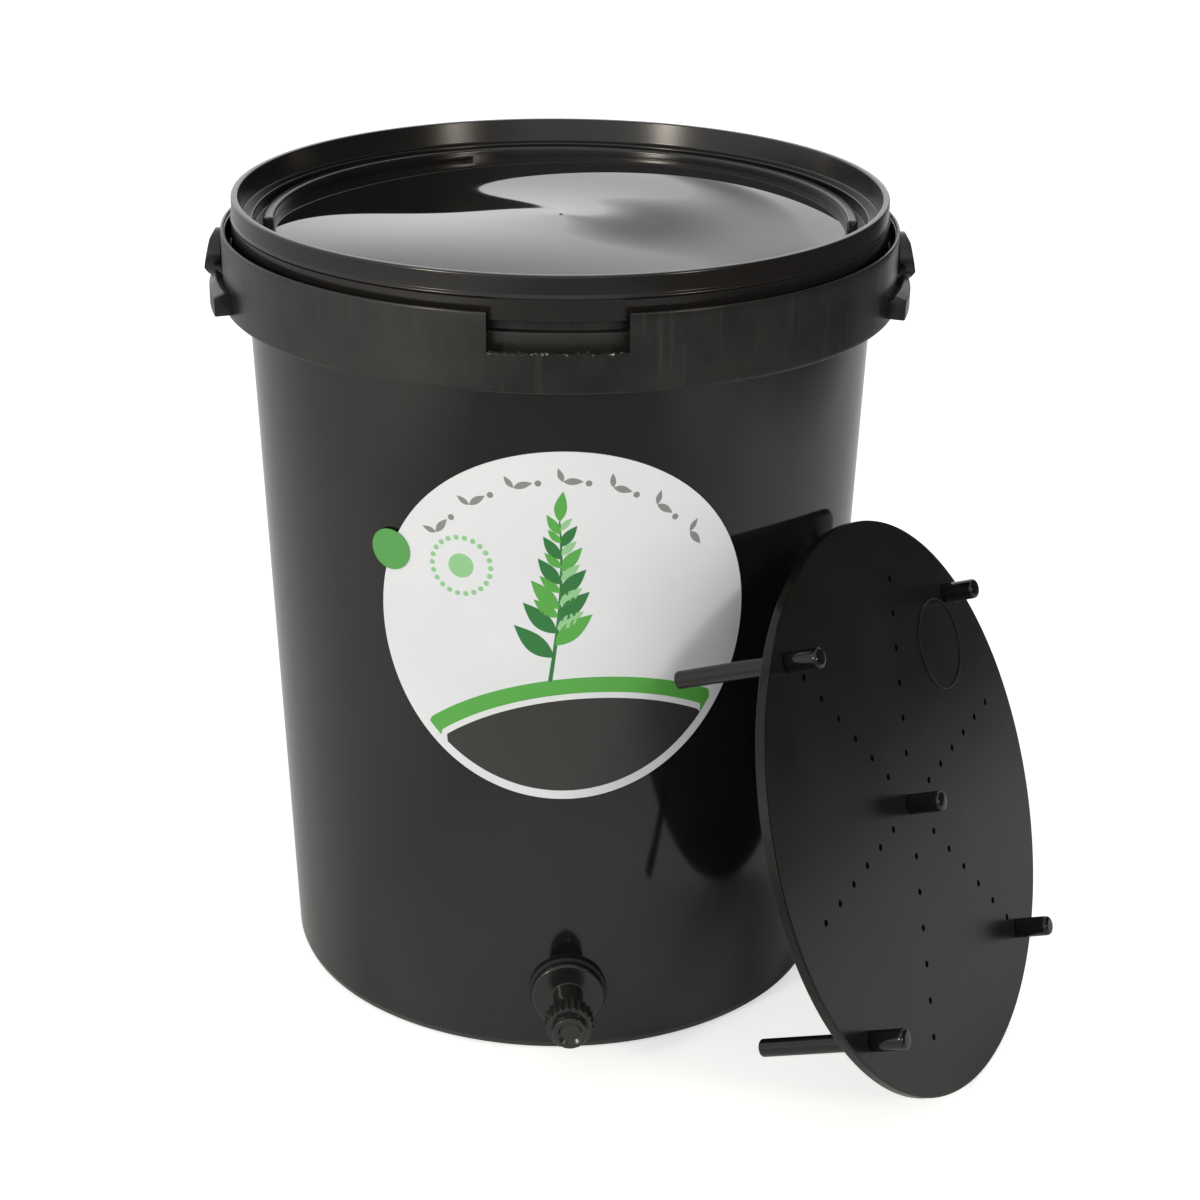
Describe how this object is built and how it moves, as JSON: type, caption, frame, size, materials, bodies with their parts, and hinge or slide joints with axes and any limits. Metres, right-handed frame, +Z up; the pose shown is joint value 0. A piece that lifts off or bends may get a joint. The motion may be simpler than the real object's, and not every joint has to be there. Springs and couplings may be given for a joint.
{
  "type": "bokashi bin",
  "caption": "Tall tapered composting pail with a snap lid, bail handle, low front drain tap and a loose round drain plate on legs leaning on its side.",
  "frame": {"origin": "centre of the pail's underside, on the pail's axis and on the floor", "axes": "+Z up along the pail's axis, -Y towards the tap, +X to the side where the bail's right pivot is"},
  "size_m": [0.4297, 0.4275, 0.4038],
  "materials": {
    "pail_black": "satin charcoal moulding",
    "lid_black": "glossy charcoal moulding",
    "bail_black": "satin black",
    "tap_black": "semi-gloss black",
    "rubber_black": "matt black rubber",
    "seal_grey": "matt grey foam",
    "plate_dark": "fine-grained dark sheet",
    "leg_black": "glossy black",
    "label_white": "satin printed film",
    "sticker_green": "satin printed film"
  },
  "bodies": {
    "pail": {"bucket_shell": "pail_black", "front_label": "label_white", "label_sticker": "sticker_green", "tap_body": "tap_black", "tap_outer_washer": "rubber_black", "tap_inner_washer": "rubber_black", "tap_back_nut": "tap_black"},
    "lid_body": {"lid": "lid_black", "lid_gasket": "seal_grey"},
    "bail": {"bail_handle": "bail_black"},
    "tap_valve": {"tap_rotor": "tap_black", "tap_knob": "tap_black", "tap_seal_front": "rubber_black", "tap_seal_rear": "rubber_black"},
    "plate_body": {"drain_plate": "plate_dark", "drain_leg_middle": "leg_black", "drain_leg_upper_right": "leg_black", "drain_leg_upper_left": "leg_black", "drain_leg_lower_left": "leg_black", "drain_leg_lower_right": "leg_black"}
  },
  "joints": [
    {"name": "lid_lift", "type": "slide", "parent": "pail", "child": "lid_body", "axis": [0, 0, 1], "range_m": [0, 0.2]},
    {"name": "bail_swing", "type": "hinge", "parent": "pail", "child": "bail", "pos_m": [0, 0, 0.371], "axis": [1, 0, 0], "range_deg": [0, 180]},
    {"name": "tap_turn", "type": "hinge", "parent": "pail", "child": "tap_valve", "pos_m": [0, 0, 0.036], "axis": [-0.0332, 0.9995, 0], "range_deg": [0, 90]},
    {"name": "plate_lift", "type": "slide", "parent": "pail", "child": "plate_body", "axis": [0.6196, -0.3407, 0.7071], "range_m": [0, 0.3]}
  ]
}
